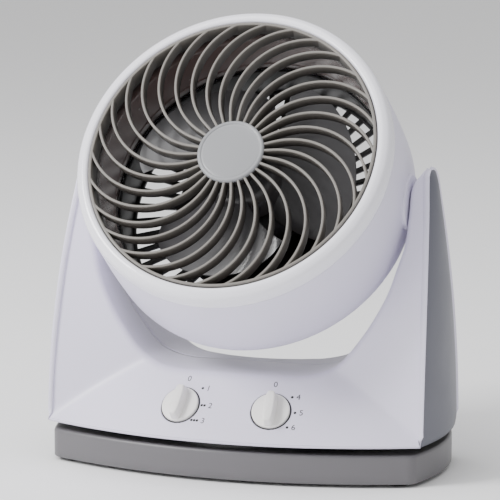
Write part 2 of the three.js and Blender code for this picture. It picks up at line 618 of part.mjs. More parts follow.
// Rear guard: a black disc slotted near its edge, with a deep rim and a cup for the motor.
function buildRearGuard() {
  const thick = 3;
  const back = -34.5;
  const ribHalf = 1.3;
  const cupRadius = 47;
  const cupWall = 2.4;
  const slots = [];
  for (let i = 0; i < REAR_RIBS; i += 1) {
    const middle = (2 * Math.PI * (i + 0.5)) / REAR_RIBS;
    const corners = [[SLOTS_FROM, 1], [SLOTS_FROM, -1], [SLOTS_TO, -1], [SLOTS_TO, 1]];
    slots.push(corners.map(([radius, end]) => {
      const angle = middle + end * (Math.PI / REAR_RIBS - ribHalf / radius);
      return point(radius * Math.cos(angle), radius * Math.sin(angle));
    }));
  }
  const edge = [];
  for (let i = 0; i < ROUND; i += 1) {
    const angle = (2 * Math.PI * i) / ROUND;
    edge.push(point(GUARD_RADIUS * Math.cos(angle), GUARD_RADIUS * Math.sin(angle)));
  }
  const disc = solid(flat(edge, back, back + thick, slots));
  const rim = solid(pipe(GUARD_RADIUS, back + 0.5, 4, GUARD_RADIUS - 2.2, ROUND));
  const cup = solid(pipe(cupRadius, back + 1, -12, cupRadius - cupWall, 24));
  piece(head, 'rear_guard', disc.add(rim).add(cup), BLACK);
  for (let i = 0; i < 3; i += 1) {
    const angle = Math.PI / 2 + (2 * Math.PI * i) / 3;
    const screw = turned([[0, back - 2.2], [2.8, back - 2.2], [3.2, back - 0.3], [0, back - 0.3]], 10);
    screw.translate(38 * Math.cos(angle), 38 * Math.sin(angle), 0);
    piece(head, `motor_screw_${i + 1}`, screw, STEEL);
  }
  const motorBack = back + thick + GAP;
  const motor = turned([[0, motorBack], [40, motorBack], [42, motorBack + 3], [42, 2], [38, 8], [14, 9],
    [14, 12], [4.4, 12], [4.4, -6], [0, -6]], 24);
  piece(head, 'fan_motor', motor, CAST);
}

function buildRotor() {
  piece(head, 'fan_shaft', pipe(4, -5.4, 55, 0, 16), STEEL);
  const hub = solid(turned([[4.3, 15], [31, 15], [34, 18], [34, 40], [30, 46], [4.3, 50]], 24));
  const section = [];
  const steps = 8;
  for (let i = 0; i <= steps; i += 1) section.push(point(-1 + (2 * i) / steps, 1));
  for (let i = steps; i >= 0; i -= 1) section.push(point(-1 + (2 * i) / steps, -1));
  const root = 31;
  const tipRounding = 12;
  let rotor = hub;
  for (let blade = 0; blade < BLADE_COUNT; blade += 1) {
    const geometry = reshape(carried(section, 1, 4), (p) => {
      const out = p.z;
      const radius = root + (BLADE_TIP - tipRounding * p.x ** 4 - root) * out;
      const climb = 14 + 8 * out;
      const camber = 3 * (1 - p.x * p.x);
      const height = BLADE_MIDDLE + climb * p.x + camber + p.y * (1.5 - 0.5 * out);
      const angle = BLADE_HALF_ANGLE * p.x + 0.3 * out + (2 * Math.PI * blade) / BLADE_COUNT;
      p.set(radius * Math.cos(angle), radius * Math.sin(angle), height);
    });
    rotor = rotor.add(solid(geometry));
  }
  piece(head, 'propeller', rotor.subtract(solid(pipe(4.3, 0, 60))), BLADE_GREY);
  piece(head, 'spinner_nut', pipe(9, 50.4, 57, 4.2, 16), BLACK);
}

// ---- assembly -----------------------------------------------------------------------------------
buildPlinth();
buildSwivelDrive();
const knobFrames = [panelFrame(-KNOB_X), panelFrame(KNOB_X)];
buildYoke(knobFrames);
buildKnob(knobFrames[0], 'speed');
buildKnob(knobFrames[1], 'mode');
buildTiltBearings();
buildGrille();
buildDrum();
buildRearGuard();
buildRotor();

export default fan;
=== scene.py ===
"""Desk air circulator: its finished surfaces, built round the fixed frame of joints and plain solids.

Lengths are millimetres inside the shape code and metres in the scene. +Z is up, the grille looks
towards -Y and upwards, and +X is the right side seen from the front.
"""

import json
import logging
import math
from dataclasses import dataclass
from enum import Enum
from typing import Callable, Optional, Sequence, Union

import bmesh
import bpy
import numpy as np
from mathutils import Euler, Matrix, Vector


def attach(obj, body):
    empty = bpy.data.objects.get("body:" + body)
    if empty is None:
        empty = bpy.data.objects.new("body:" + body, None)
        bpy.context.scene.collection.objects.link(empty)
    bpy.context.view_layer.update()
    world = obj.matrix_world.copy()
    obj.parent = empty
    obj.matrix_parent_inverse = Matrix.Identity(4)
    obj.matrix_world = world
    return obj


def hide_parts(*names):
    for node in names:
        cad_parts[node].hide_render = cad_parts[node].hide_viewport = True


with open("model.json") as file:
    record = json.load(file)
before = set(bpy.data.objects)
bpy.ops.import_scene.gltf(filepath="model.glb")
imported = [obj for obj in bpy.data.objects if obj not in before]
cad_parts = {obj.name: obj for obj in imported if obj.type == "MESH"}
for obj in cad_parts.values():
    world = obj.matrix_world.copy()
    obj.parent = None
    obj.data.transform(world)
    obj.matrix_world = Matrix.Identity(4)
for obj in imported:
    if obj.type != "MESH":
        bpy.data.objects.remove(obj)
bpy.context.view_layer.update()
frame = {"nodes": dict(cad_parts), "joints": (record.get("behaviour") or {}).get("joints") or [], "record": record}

LOG = logging.getLogger("air_circulator")
MM = 0.001
DEPTH_SHIFT = -3.75
TURN = 2 * math.pi


# ---- finishes ---------------------------------------------------------------------------------------
def linear(*channels: int) -> tuple:
    """Linear colour with alpha from 0-255 display values."""
    values = np.array(channels) / 255.0
    curve = np.where(values <= 0.04045, values / 12.92, ((values + 0.055) / 1.055) ** 2.4)
    return (*(float(v) for v in curve), 1.0)


@dataclass(frozen=True)
class Finish:
    """One surface finish: colour that drifts a little, fine grain in the relief, uneven gloss, and an optional
    painted shade colour.
    """

    name: str
    slot: str
    colour: tuple
    roughness: float
    drift: float = 0.05
    drift_scale: float = 14.0
    grain_scale: float = 900.0
    grain: float = 0.05
    metallic: float = 0.0
    coat: float = 0.0
    specular: float = 0.5
    # deep: colour of painted shade, mixed in where the mesh's 'shade' attribute is high
    deep: Optional[tuple] = None

    def material(self) -> bpy.types.Material:
        """Builds the node material once and returns it afterwards.

        Returns:
            The Blender material of this finish.
        """
        title = f"{self.name}_finish"
        known = bpy.data.materials.get(title)
        if known:
            return known
        material = bpy.data.materials.new(title)
        material.use_nodes = True
        tree = material.node_tree
        nodes, links = tree.nodes, tree.links
        shader = nodes["Principled BSDF"]
        shader.inputs["Metallic"].default_value = self.metallic
        shader.inputs["Coat Weight"].default_value = self.coat
        shader.inputs["Coat Roughness"].default_value = 0.08
        shader.inputs["Specular IOR Level"].default_value = self.specular
        place = nodes.new("ShaderNodeTexCoord").outputs["Object"]

        cloud = self._noise(nodes, links, place, self.drift_scale, 3.0)
        low = tuple(c * (1 - self.drift) for c in self.colour[:3]) + (1.0,)
        high = tuple(min(1.0, c * (1 + self.drift)) for c in self.colour[:3]) + (1.0,)
        tint = nodes.new("ShaderNodeMix")
        tint.data_type = "RGBA"
        tint.inputs[6].default_value = low
        tint.inputs[7].default_value = high
        links.new(cloud, tint.inputs[0])
        colour = tint.outputs[2]
        # painted shade: the colour is mixed towards the deep colour by the 'shade' attribute
        if self.deep:
            shade = nodes.new("ShaderNodeAttribute")
            shade.attribute_name = "shade"
            sink = nodes.new("ShaderNodeMix")
            sink.data_type = "RGBA"
            sink.inputs[7].default_value = self.deep
            links.new(shade.outputs["Fac"], sink.inputs[0])
            links.new(colour, sink.inputs[6])
            colour = sink.outputs[2]
        links.new(colour, shader.inputs["Base Color"])

        gloss = nodes.new("ShaderNodeMapRange")
        gloss.inputs["To Min"].default_value = max(0.02, self.roughness - 0.05)
        gloss.inputs["To Max"].default_value = min(1.0, self.roughness + 0.05)
        links.new(self._noise(nodes, links, place, self.drift_scale * 3.1, 4.0), gloss.inputs["Value"])
        links.new(gloss.outputs["Result"], shader.inputs["Roughness"])

        relief = nodes.new("ShaderNodeBump")
        relief.inputs["Strength"].default_value = self.grain
        relief.inputs["Distance"].default_value = 0.0004
        links.new(self._noise(nodes, links, place, self.grain_scale, 2.0), relief.inputs["Height"])
        links.new(relief.outputs["Normal"], shader.inputs["Normal"])
        return material

    @staticmethod
    def _noise(
        nodes: bpy.types.Nodes, links: bpy.types.NodeLinks, place: bpy.types.NodeSocket, scale: float,
        detail: float
    ) -> bpy.types.NodeSocket:
        """Adds a noise field.

        Args:
            nodes: the tree's nodes.
            links: the tree's links.
            place: socket of the point it is read at.
            scale: its fineness.
            detail: its octaves.

        Returns:
            The socket of its value.
        """
        noise = nodes.new("ShaderNodeTexNoise")
        noise.inputs["Scale"].default_value = scale
        noise.inputs["Detail"].default_value = detail
        links.new(place, noise.inputs["Vector"])
        return noise.outputs["Fac"]


YOKE_WHITE = Finish("yoke_white", "yoke_white", linear(222, 218, 236), 0.36, drift=0.012)
BEZEL_WHITE = Finish("bezel_white", "bezel_white", linear(240, 239, 247), 0.2, drift=0.01, coat=0.3)
PLINTH_GREY = Finish("plinth_grey", "plinth_grey", linear(100, 98, 101), 0.38, grain=0.12)
COVER_GREY = Finish("cover_grey", "cover_grey", linear(92, 93, 104), 0.42, grain=0.12)
# the grille's deep colour is painted shade on the spokes' sides, inside the ring and on the hub base
GRILLE_GREY = Finish("grille_grey", "grille_grey", linear(112, 108, 103), 0.42, deep=linear(50, 45, 42))
CAP_GREY = Finish("cap_grey", "cap_grey", linear(134, 135, 138), 0.35, drift=0.03, coat=0.2)
# the duct's deep colour is painted shade at its front and rear ends
DUCT_BROWN = Finish("duct_brown", "duct_brown", linear(104, 78, 74), 0.26, deep=linear(30, 25, 25))
# black plastic of the guard and nut; also painted shade in the knobs' seat gaps
BLACK_PLASTIC_AND_GAP_SHADE = Finish("black_plastic", "black_plastic", linear(24, 23, 25), 0.45, drift=0.1, grain=0.1)
BLADE_GREY = Finish("blade_grey", "blade_grey", linear(80, 79, 81), 0.3, drift=0.06, coat=0.2)
FOOT_RUBBER = Finish("foot_rubber", "foot_rubber", linear(22, 22, 23), 0.85, drift=0.15, grain=0.3)
BRIGHT_STEEL = Finish("bright_steel", "bright_steel", linear(190, 191, 194), 0.3, metallic=1.0)
MOTOR_CAST = Finish("motor_cast", "motor_cast", linear(84, 85, 88), 0.6, metallic=0.6, grain=0.4)
BALLAST_IRON = Finish("ballast_iron", "ballast_iron", linear(78, 76, 76), 0.75, metallic=0.5, grain=0.5)
KNOB_CREAM = Finish("knob_cream", "knob_cream", linear(240, 238, 234), 0.38, drift=0.02, grain=0.04)
LEGEND_INK = Finish("legend_ink", "black_plastic", linear(22, 21, 24), 0.6, drift=0.1)
FINISHES = {
    f.slot: f
    for f in (
        YOKE_WHITE, BEZEL_WHITE, PLINTH_GREY, COVER_GREY, GRILLE_GREY, CAP_GREY, DUCT_BROWN, BLACK_PLASTIC_AND_GAP_SHADE,
        BLADE_GREY, FOOT_RUBBER, BRIGHT_STEEL, MOTOR_CAST, BALLAST_IRON, KNOB_CREAM,
    )
}


# ---- curves and grids -------------------------------------------------------------------------------
def fillet(points: Sequence, radius: Union[float, Sequence], steps: int = 5,
           closed: bool = True) -> np.ndarray:
    """Rounds the corners of a flat polyline.

    Each corner P becomes a quadratic curve from P minus a trim along the edge before it to P plus
    a trim along the edge after it, with P as its middle control point.

    Args:
        points: (n, 2) corners.
        radius: trim length, one value or one for each corner.
        steps: segments in each rounded corner.
        closed: whether the last corner joins the first.

    Returns:
        (m, 2) points.
    """
    p = np.asarray(points, float)
    radius = np.broadcast_to(np.asarray(radius, float), len(p))
    before, after = np.roll(p, 1, 0) - p, np.roll(p, -1, 0) - p
    length_b, length_a = np.linalg.norm(before, axis=1), np.linalg.norm(after, axis=1)
    trim = np.minimum(radius, 0.48 * np.minimum(length_b, length_a))
    a = p + before * (trim / length_b)[:, None]
    b = p + after * (trim / length_a)[:, None]
    t = np.linspace(0, 1, steps + 1)[None, :, None]
    curve = (1 - t) ** 2 * a[:, None] + 2 * t * (1 - t) * p[:, None] + t**2 * b[:, None]
    if closed:
        return curve.reshape(-1, 2)
    return np.vstack([p[:1], curve[1:-1].reshape(-1, 2), p[-1:]])


def spline(points: Sequence, per: int = 12) -> np.ndarray:
    """Catmull-Rom curve through points, each span cut into per pieces."""
    p = np.asarray(points, float)
    q = np.vstack([2 * p[0] - p[1], p, 2 * p[-1] - p[-2]])
    t = np.linspace(0, 1, per, endpoint=False)[None, :, None]
    a, b, c, d = (q[k : len(q) - 3 + k, None] for k in range(4))
    body = 0.5 * (2 * b + (c - a) * t + (2 * a - 5 * b + 4 * c - d) * t**2 + (3 * b - a - 3 * c + d) * t**3)
    return np.vstack([body.reshape(-1, p.shape[1]), p[-1:]])


def smooth_step(t: np.ndarray) -> np.ndarray:
    """0 below 0, 1 above 1, with an even start and end between."""
    t = np.clip(t, 0, 1)
    return t * t * (3 - 2 * t)


@dataclass
class Grid:
    """A surface as rows and columns of points, in millimetres."""

    points: np.ndarray
    rows_closed: bool = False
    columns_closed: bool = False
    caps: bool = False
    flip: bool = False
    # painted shade of each point, 0 to 1, read by a finish's deep colour
    shade: Optional[np.ndarray] = None

    def faces(self, start: int) -> list:
        """Corner numbers of the quads between neighbouring points, and of the end caps.

        Args:
            start: number of this grid's first point in the whole mesh.

        Returns:
            A list of faces.
        """
        rows, columns = self.points.shape[:2]
        i = np.arange(rows if self.rows_closed else rows - 1)[:, None]
        j = np.arange(columns if self.columns_closed else columns - 1)[None, :]
        i2, j2 = (i + 1) % rows, (j + 1) % columns
        quads = np.stack(np.broadcast_arrays(i * columns + j, i2 * columns + j, i2 * columns + j2,
                                             i * columns + j2), -1)
        quads = quads.reshape(-1, 4) + start
        if self.flip:
            quads = quads[:, ::-1]
        faces = quads.tolist()
        if self.caps:
            first = list(range(start, start + columns))
            last = list(range(start + (rows - 1) * columns, start + rows * columns))
            faces += [first[::-1], last] if self.flip else [first, last[::-1]]
        return faces


def build(name: str, grids: list, finish: Finish, sharp: float = 38.0,
          closed: bool = True) -> bpy.types.Object:
    """Makes one mesh object from grids and dresses it.

    Args:
        name: the piece's name.
        grids: its surfaces.
        finish: the finish it wears.
        sharp: edges turning more than this many degrees stay crisp.
        closed: whether every surface is closed, so that its faces can be turned outwards.

    Returns:
        The object, at the origin and unscaled.
    """
    counts = np.cumsum([0] + [g.points.shape[0] * g.points.shape[1] for g in grids])
    points = np.vstack([g.points.reshape(-1, 3) for g in grids]) * MM
    faces = [face for g, start in zip(grids, counts) for face in g.faces(int(start))]
    mesh = bpy.data.meshes.new(name)
    mesh.from_pydata(points.tolist(), [], faces)
    # painted shade: written as the 'shade' attribute that a finish's deep colour reads
    if any(g.shade is not None for g in grids):
        values = [np.zeros(g.points.shape[:2]) if g.shade is None else g.shade for g in grids]
        values = np.concatenate([np.broadcast_to(v, g.points.shape[:2]).ravel() for v,
                                 g in zip(values, grids)])
        layer = mesh.attributes.new("shade", "FLOAT", "POINT")
        layer.data.foreach_set("value", values.astype(np.float32))
    work = bmesh.new()
    work.from_mesh(mesh)
    bmesh.ops.remove_doubles(work, verts=work.verts, dist=2e-6)
    if closed:
        bmesh.ops.recalc_face_normals(work, faces=work.faces)
    work.to_mesh(mesh)
    work.free()
    mesh.shade_smooth()
    mesh.set_sharp_from_angle(angle=math.radians(sharp))
    mesh.materials.append(finish.material())
    piece = bpy.data.objects.new(name, mesh)
    bpy.context.scene.collection.objects.link(piece)
    return piece


def thicken(piece: bpy.types.Object, wall: float) -> None:
    """Gives an open skin a wall of that many millimetres on its inner side."""
    solidify = piece.modifiers.new("wall", "SOLIDIFY")
    solidify.thickness = wall * MM
    solidify.offset = -1.0
    solidify.use_rim = True


def lathe(profile: Sequence, count: int = 192, closed: bool = True,
          shade: Optional[np.ndarray] = None) -> Grid:
    """Turns a profile of (radius, height) points round +Z: x = r cos a, y = r sin a, z = h."""
    profile = np.asarray(profile, float)
    angle = np.linspace(0, TURN, count, endpoint=False)[:, None]
    r, h = profile[:, 0][None, :], profile[:, 1][None, :]
    points = np.stack(np.broadcast_arrays(r * np.cos(angle), r * np.sin(angle), h), -1)
    return Grid(points, rows_closed=True, columns_closed=closed, shade=shade)


def sweep(
    line: np.ndarray, across: np.ndarray, up: np.ndarray, section: np.ndarray,
    shade: Optional[np.ndarray] = None
) -> Grid:
    """Carries a closed section along a line: point = line + across * section x + up * section y.

    Args:
        line: (n, 3) path.
        across: (n, 3) unit sideways directions.
        up: (n, 3) or (3,) unit upward directions.
        section: (m, 2) closed outline, or (n, m, 2) when it changes along the path.
        shade: optional painted shade of each section point.

    Returns:
        A grid closed round the section, with capped ends.
    """
    section = np.broadcast_to(section, (len(line), *np.shape(section)[-2:]))
    up = np.broadcast_to(up, line.shape)
    points = line[:, None] + across[:, None] * section[..., :1] + up[:, None] * section[..., 1:]
    return Grid(points, columns_closed=True, caps=True, shade=shade)


def moved(grid: Grid, place: Callable) -> Grid:
    """The same grid with its points passed through place()."""
    return Grid(place(grid.points), grid.rows_closed, grid.columns_closed, grid.caps, grid.flip, grid.shade)


def spun(grid: Grid, angle: float) -> Grid:
    """The same grid turned about +Z by an angle in radians."""
    c, s = math.cos(angle), math.sin(angle)
    return moved(grid, lambda p: p @ np.array([[c, s, 0], [-s, c, 0], [0, 0, 1]]))


@dataclass(frozen=True)
class Axes:
    """A placed set of axes: rows of `turn` are its own X, Y and Z in the part's frame."""

    origin: np.ndarray
    turn: np.ndarray

    def place(self, points: np.ndarray) -> np.ndarray:
        """Takes points from these axes to the part's frame."""
        return points @ self.turn + self.origin


def joint_axes(name: str) -> tuple:
    """Place in millimetres and unit axis of a joint of the frame."""
    joint = next(j for j in frame["joints"] if j["name"] == name)
    return np.array(joint["pos_m"]) / MM, np.array(joint["axis"], float)


PIVOT, _ = joint_axes("tilt")
_, FAN_BACK = joint_axes("fan_spin")
HEAD = Axes(PIVOT, np.array([[1, 0, 0], [0, -FAN_BACK[2], FAN_BACK[1]], -FAN_BACK]))
SWIVEL, _ = joint_axes("swivel")


def settle(piece: bpy.types.Object, body: str, slot: str, *nodes: str) -> None:
    """Hangs a finished piece on the body it rides on and hides the nodes it stands for; its material slot is not
    used.
    """
    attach(piece, body)
    if nodes:
        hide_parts(*nodes)
    LOG.info("%s: %d faces on %s", piece.name, len(piece.data.polygons), body)


# ---- plinth -----------------------------------------------------------------------------------------
@dataclass
class Plinth:
    """The flat base: a bowed, rounded slab open underneath, with a hole for the swivel post."""

    half_width: float = 164.5
    half_depth: float = 64.0
    side_bow: float = 9.5
    end_bow: float = 31.0
    corner: float = 8.0
    bottom: float = 3.0
    top: float = 28.4
    wall: float = 2.5
    post_hole: float = 12.4
    corner_pull: tuple = (6.1194, 2.4346)  # from a long side's end to the corner curve's middle control

    def outline(self, inset: float) -> np.ndarray:
        """Plan outline as parabolic sides joined by rounded corners, moved inwards along its normals."""
        w, d, c = self.half_width, self.half_depth, self.corner
        t = np.linspace(0, 1, 40)[:, None]
        bow = 4 * t * (1 - t)
        front = np.hstack([(-w + c) + (2 * w - 2 * c) * t, -d - self.end_bow * bow])
        right = np.hstack([w + self.side_bow * bow, (-d + c) + (2 * d - 2 * c) * t])
        corners = []
        for sx, sy in ((1, -1), (1, 1), (-1, 1), (-1, -1)):
            ends = [np.array([sx * (w - c), sy * d]), np.array([sx * w, sy * (d - c)])]
            middle = np.array([sx * (w - c + self.corner_pull[0]), sy * (d - self.corner_pull[1])])
            if sx * sy > 0:
                ends.reverse()
            u = np.linspace(0, 1, 14)[1:-1, None]
            corners.append((1 - u) ** 2 * ends[0] + 2 * u * (1 - u) * middle + u**2 * ends[1])
        loop = np.vstack([front, corners[0], right, corners[1], -front, corners[2], -right, corners[3]])
        ahead = np.roll(loop, -1, 0) - np.roll(loop, 1, 0)
        normal = np.stack([ahead[:, 1], -ahead[:, 0]], -1)
        normal /= np.linalg.norm(normal, axis=1)[:, None]
        return loop - normal * inset

    def ring(self, inset: float, height: float) -> np.ndarray:
        """The outline at an inset and a height, round the swivel axis."""
        flat = self.outline(inset) + SWIVEL[:2]
        return np.hstack([flat, np.full((len(flat), 1), height)])

    def hole(self, height: float) -> np.ndarray:
        """The post hole, sampled at the same bearings as the outline."""
        flat = self.outline(0)
        flat = flat / np.linalg.norm(flat, axis=1)[:, None] * self.post_hole + SWIVEL[:2]
        return np.hstack([flat, np.full((len(flat), 1), height)])

    def make(self) -> None:
        """Builds the shell: rings from the foot of the wall, over the top, down the hole and back inside."""
        under = self.top - self.wall
        rings = [self.ring(1.5, self.bottom)]
        rings += [self.ring(1.5 * (1 - math.sin(a)),
                            self.bottom + 1.5 * (1 - math.cos(a))) for a in (0.5, 1.0, 1.57)]
        rings += [self.ring(0, z) for z in (12, 20)]
        rings += [self.ring(3 * (1 - math.cos(a)),
                            self.top - 3 + 3 * math.sin(a)) for a in np.linspace(0, 1.5708, 7)]
        edge, hole = self.ring(3, self.top), self.hole(self.top)
        rings += [edge + (hole - edge) * t for t in (0.02, 0.5, 1.0)]
        inner = self.ring(self.wall, under)
        rings += [self.hole(under), inner, self.ring(self.wall, self.bottom)]
        shell = build("plinth_shell_skin", [Grid(np.stack(rings), True, True)], PLINTH_GREY)
        settle(shell, "base", "plinth_grey", "plinth_shell")


# ---- yoke -------------------------------------------------------------------------------------------
class Side(Enum):
    """Front or rear shell of the yoke; the value is the way inwards along Y."""

    FRONT = 1.0
    REAR = -1.0


SADDLE = [(-60, 86), (0, 86), (40, 86), (57, 86.3), (74, 89.5), (90, 98), (108, 120), (121, 141), (130, 160),
          (136, 180), (140.6, 196), (142, 210), (142, 232), (142.2, 242), (144.5, 249.7), (149, 255.7),
          (152, 260.2)]


@dataclass
class Yoke:
    """The U-shaped yoke: front and rear shells, side covers, and the sloping control panel."""

    bottom: float = 34.5
    split: float = 22.8
    half_seam: float = 0.15
    panel_front: float = -82.0
    panel_slope: float = 0.885
    panel_bow: float = 392.6
    setback: float = 0.17
    rear_bow: float = 12.0
    scoop_edge: float = 40.0
    scoop_bow: float = 0.005
    scoop_slope: float = 1.3
    tip_y: float = 27.3
    tip_z: float = 244.0
    tip_radius: float = 16.8
    wall: float = 2.4
    lip_round: float = 4.5
    edge_round: float = 1.6
    cover_edge: float = 1.6
    seat_radius: float = 17.5
    seat_depth: float = 1.7

    def rise(self, z: np.ndarray) -> np.ndarray:
        """Share of the arm's height reached at z."""
        return np.clip((z - 34) / 225.6, 0, 1.15)

    def arm_front(self, z: np.ndarray) -> np.ndarray:
        """Front edge of the arms seen from the side."""
        return -40.4 + 57.3 * self.rise(z) ** 1.76

    def arm_rear(self, z: np.ndarray) -> np.ndarray:
        """Rear edge of the arms seen from the side."""
        return 78 - 38 * self.rise(z) ** 1.6

    def arm_edge(self, z: np.ndarray) -> np.ndarray:
        """Half width over the arms' front and rear edges."""
        return 167.7 - 11.6 * self.rise(z) ** 2.36

    def tip(self, z: np.ndarray) -> np.ndarray:
        """Half depth of the arms' rounded tip at z."""
        up = np.clip(z - self.tip_z, 0, self.tip_radius)
        return np.where(z > self.tip_z, np.sqrt(self.tip_radius**2 - up**2), 1e3)

    def margin(self, z: np.ndarray) -> np.ndarray:
        """Width of white edge left round a side cover at z; it thins out over the arm's tip."""
        return self.cover_edge + (0.45 - self.cover_edge) * smooth_step((z - 228) / 20)

    def front(self, x: np.ndarray, z: np.ndarray) -> np.ndarray:
        """Front face: the smooth lesser of the arm face and the bowed, sloping panel."""
        arm = self.arm_front(z) + self.setback * np.clip(self.arm_edge(z) - np.abs(x), 0, None)
        bow = self.panel_bow - np.sqrt(self.panel_bow**2 - x**2)
        panel = self.panel_front + self.panel_slope * (z - 34) + bow
        return np.maximum(self.lesser(arm, panel, 1.5), self.tip_y - self.tip(z))

    def rear(self, x: np.ndarray, z: np.ndarray) -> np.ndarray:
        """Rear face: bowed across, cut by the arms' rounded tips."""
        share = x / self.arm_edge(z)
        bowed = self.arm_rear(z) + self.rear_bow * (1 - share**2)
        scoop = self.scoop_edge + self.scoop_bow * x**2 + self.scoop_slope * np.clip(86 - z, 0, None)
        scoop = scoop + 3.0 * np.clip(z - 92, 0, None)
        return np.minimum(self.lesser(bowed, scoop, 2.5), self.tip_y + self.tip(z))

    @staticmethod
    def lesser(a: np.ndarray, b: np.ndarray, blend: float) -> np.ndarray:
        """Smooth minimum: low - k ln(exp((low - a) / k) + exp((low - b) / k))."""
        low = np.minimum(a, b)
        return low - blend * np.log(np.exp((low - a) / blend) + np.exp((low - b) / blend))

    def stations(self) -> tuple:
        """Matching points (x, z) along the inside of the U and along its outer edge, right half.

        Returns:
            Two (n, 2) arrays, from the middle of the saddle to the arm's tip.
        """
        inner = spline(SADDLE, 16)
        inner = inner[inner[:, 0] >= 0]
        span = np.concatenate([[0], np.cumsum(np.linalg.norm(np.diff(inner, axis=0), axis=1))])
        at_62 = np.interp(62, inner[:, 0], span)
        at_106, at_141, at_top = (np.interp(z, inner[:, 1], span) for z in (106, 141, 259.8))
        low = np.concatenate([np.linspace(0, 21, 10, endpoint=False),
                              np.linspace(21, 62, 66, endpoint=False)])
        legs = [(at_62, at_106, 26), (at_106, at_141, 24)]
        s = np.concatenate([low, *[np.linspace(a, b, n, endpoint=False) for a, b, n in legs]])
        s = np.concatenate([s, at_141 + (at_top - at_141) * np.sin(np.linspace(0, math.pi / 2, 60)) ** 1.1])
        inside = np.stack([np.interp(s, span, inner[:, k]) for k in (0, 1)], -1)
        n_low, n_bottom, n_side = len(low), 26, 24
        outside = np.zeros_like(inside)
        outside[:n_low] = np.stack([inside[:n_low, 0], np.full(n_low, self.bottom)], -1)
        along = np.linspace(62, 167.7, n_bottom, endpoint=False)
        outside[n_low : n_low + n_bottom] = np.stack([along, np.full(n_bottom, self.bottom)], -1)
        up = np.linspace(self.bottom, 141, n_side, endpoint=False)
        outside[n_low + n_bottom : n_low + n_bottom + n_side] = np.stack([self.arm_edge(up), up], -1)
        arms = inside[n_low + n_bottom + n_side :, 1]
        outside[n_low + n_bottom + n_side :] = np.stack([self.arm_edge(arms), arms], -1)
        return inside, outside

    def shell(self, side: Side) -> bpy.types.Object:
        """One half of the yoke, as a skin swept along the U and thickened inwards.

        The section runs from the split plane forward along the inside of the U, round a fillet,
        across the face to the outer edge, round a second fillet, and turns in behind the side cover.

        Args:
            side: which half.

        Returns:
            The thickened piece.
        """
        face = self.front if side is Side.FRONT else self.rear
        inward = side.value
        split = self.split - inward * self.half_seam
        a, b = self.stations()
        a = np.vstack([a[:0:-1] * [-1, 1], a])[:, None]
        b = np.vstack([b[:0:-1] * [-1, 1], b])[:, None]
        length = np.linalg.norm(b - a, axis=-1, keepdims=True)
        e = (b - a) / length
        lip = np.minimum(self.lip_round, 0.3 * length)
        edge = np.minimum(self.edge_round, 0.2 * length)
        at_bottom = b[..., 1:] < self.bottom + 0.01
        turn_in = np.where(at_bottom, 2.4, self.margin(b[..., 1:]) - 0.3)
        step_in = np.minimum(np.where(at_bottom, 0.2, 3.4), 0.5 * length)

        def depth(xz: np.ndarray, drop: Union[float, np.ndarray]) -> np.ndarray:
            """Y of the face at (x, z), set back by drop."""
            return face(xz[..., 0:1], xz[..., 1:2]) + inward * drop

        t = np.linspace(0, 1, 10)[None, :, None]
        corner = np.linspace(0, math.pi / 2, 8)[None, 1:, None]
        foot = depth(a, 0)
        room = inward * (split - foot)
        lip = np.minimum(lip, np.maximum(0.3 * room, 0.05))
        walls = [(np.broadcast_to(a, (len(a), 10, 2)), split + (foot + inward * lip - split) * t)]
        xz = a + e * lip * (1 - np.cos(corner))
        walls.append((xz, depth(xz, lip * (1 - np.sin(corner)))))
        rows = 84 if side is Side.FRONT else 40
        t = np.linspace(0, 1, rows)[None, 1:, None]
        xz = a + e * (lip + (length - lip - edge) * t)
        walls.append((xz, depth(xz, 0)))
        round_out = np.linspace(0, math.pi / 2, 5)[None, 1:, None]
        xz = b - e * edge * (1 - np.sin(round_out))
        drop = np.minimum(edge * (1 - np.cos(round_out)), np.maximum(room, 0.1))
        walls.append((xz, depth(xz, drop)))
        reach = np.minimum(turn_in, np.maximum(room, 0.2))
        walls.append((b, depth(b, reach)))
        walls.append((b - e * step_in, depth(b, reach)))
        xz = np.concatenate([np.broadcast_to(w[0], (len(a), w[1].shape[1], 2)) for w in walls], 1)
        y = np.concatenate([w[1] for w in walls], 1)[..., 0]
        points = np.stack([xz[..., 0], y + DEPTH_SHIFT, xz[..., 1]], -1)
        if side is Side.FRONT:
            points = self.sink_seats(points)
        roof = points[[0, -1]].copy()
        roof[..., 0] = roof[..., 0].mean(1, keepdims=True)
        roof[..., 2] += 0.4
        points = np.concatenate([roof[:1], points, roof[1:]])
        name = "yoke_front_skin" if side is Side.FRONT else "yoke_rear_skin"
        skin = build(name, [Grid(points, flip=side is Side.FRONT)], YOKE_WHITE, sharp=50, closed=False)
        thicken(skin, self.wall)
        return skin

    def sink_seats(self, points: np.ndarray) -> np.ndarray:
        """Presses a round seat for each knob into the panel, along the knob's own axis."""
        for joint in ("speed_turn", "mode_turn"):
            origin, inward = joint_axes(joint)
            away = points - origin
            height = away @ inward
            radius = np.linalg.norm(away - height[..., None] * inward, axis=-1)
            sink = self.seat_depth * smooth_step((self.seat_radius - radius) / 0.7 + 0.5)
            sink = np.where(np.abs(height) < 4, sink, 0)
            points = points + sink[..., None] * inward
        return points

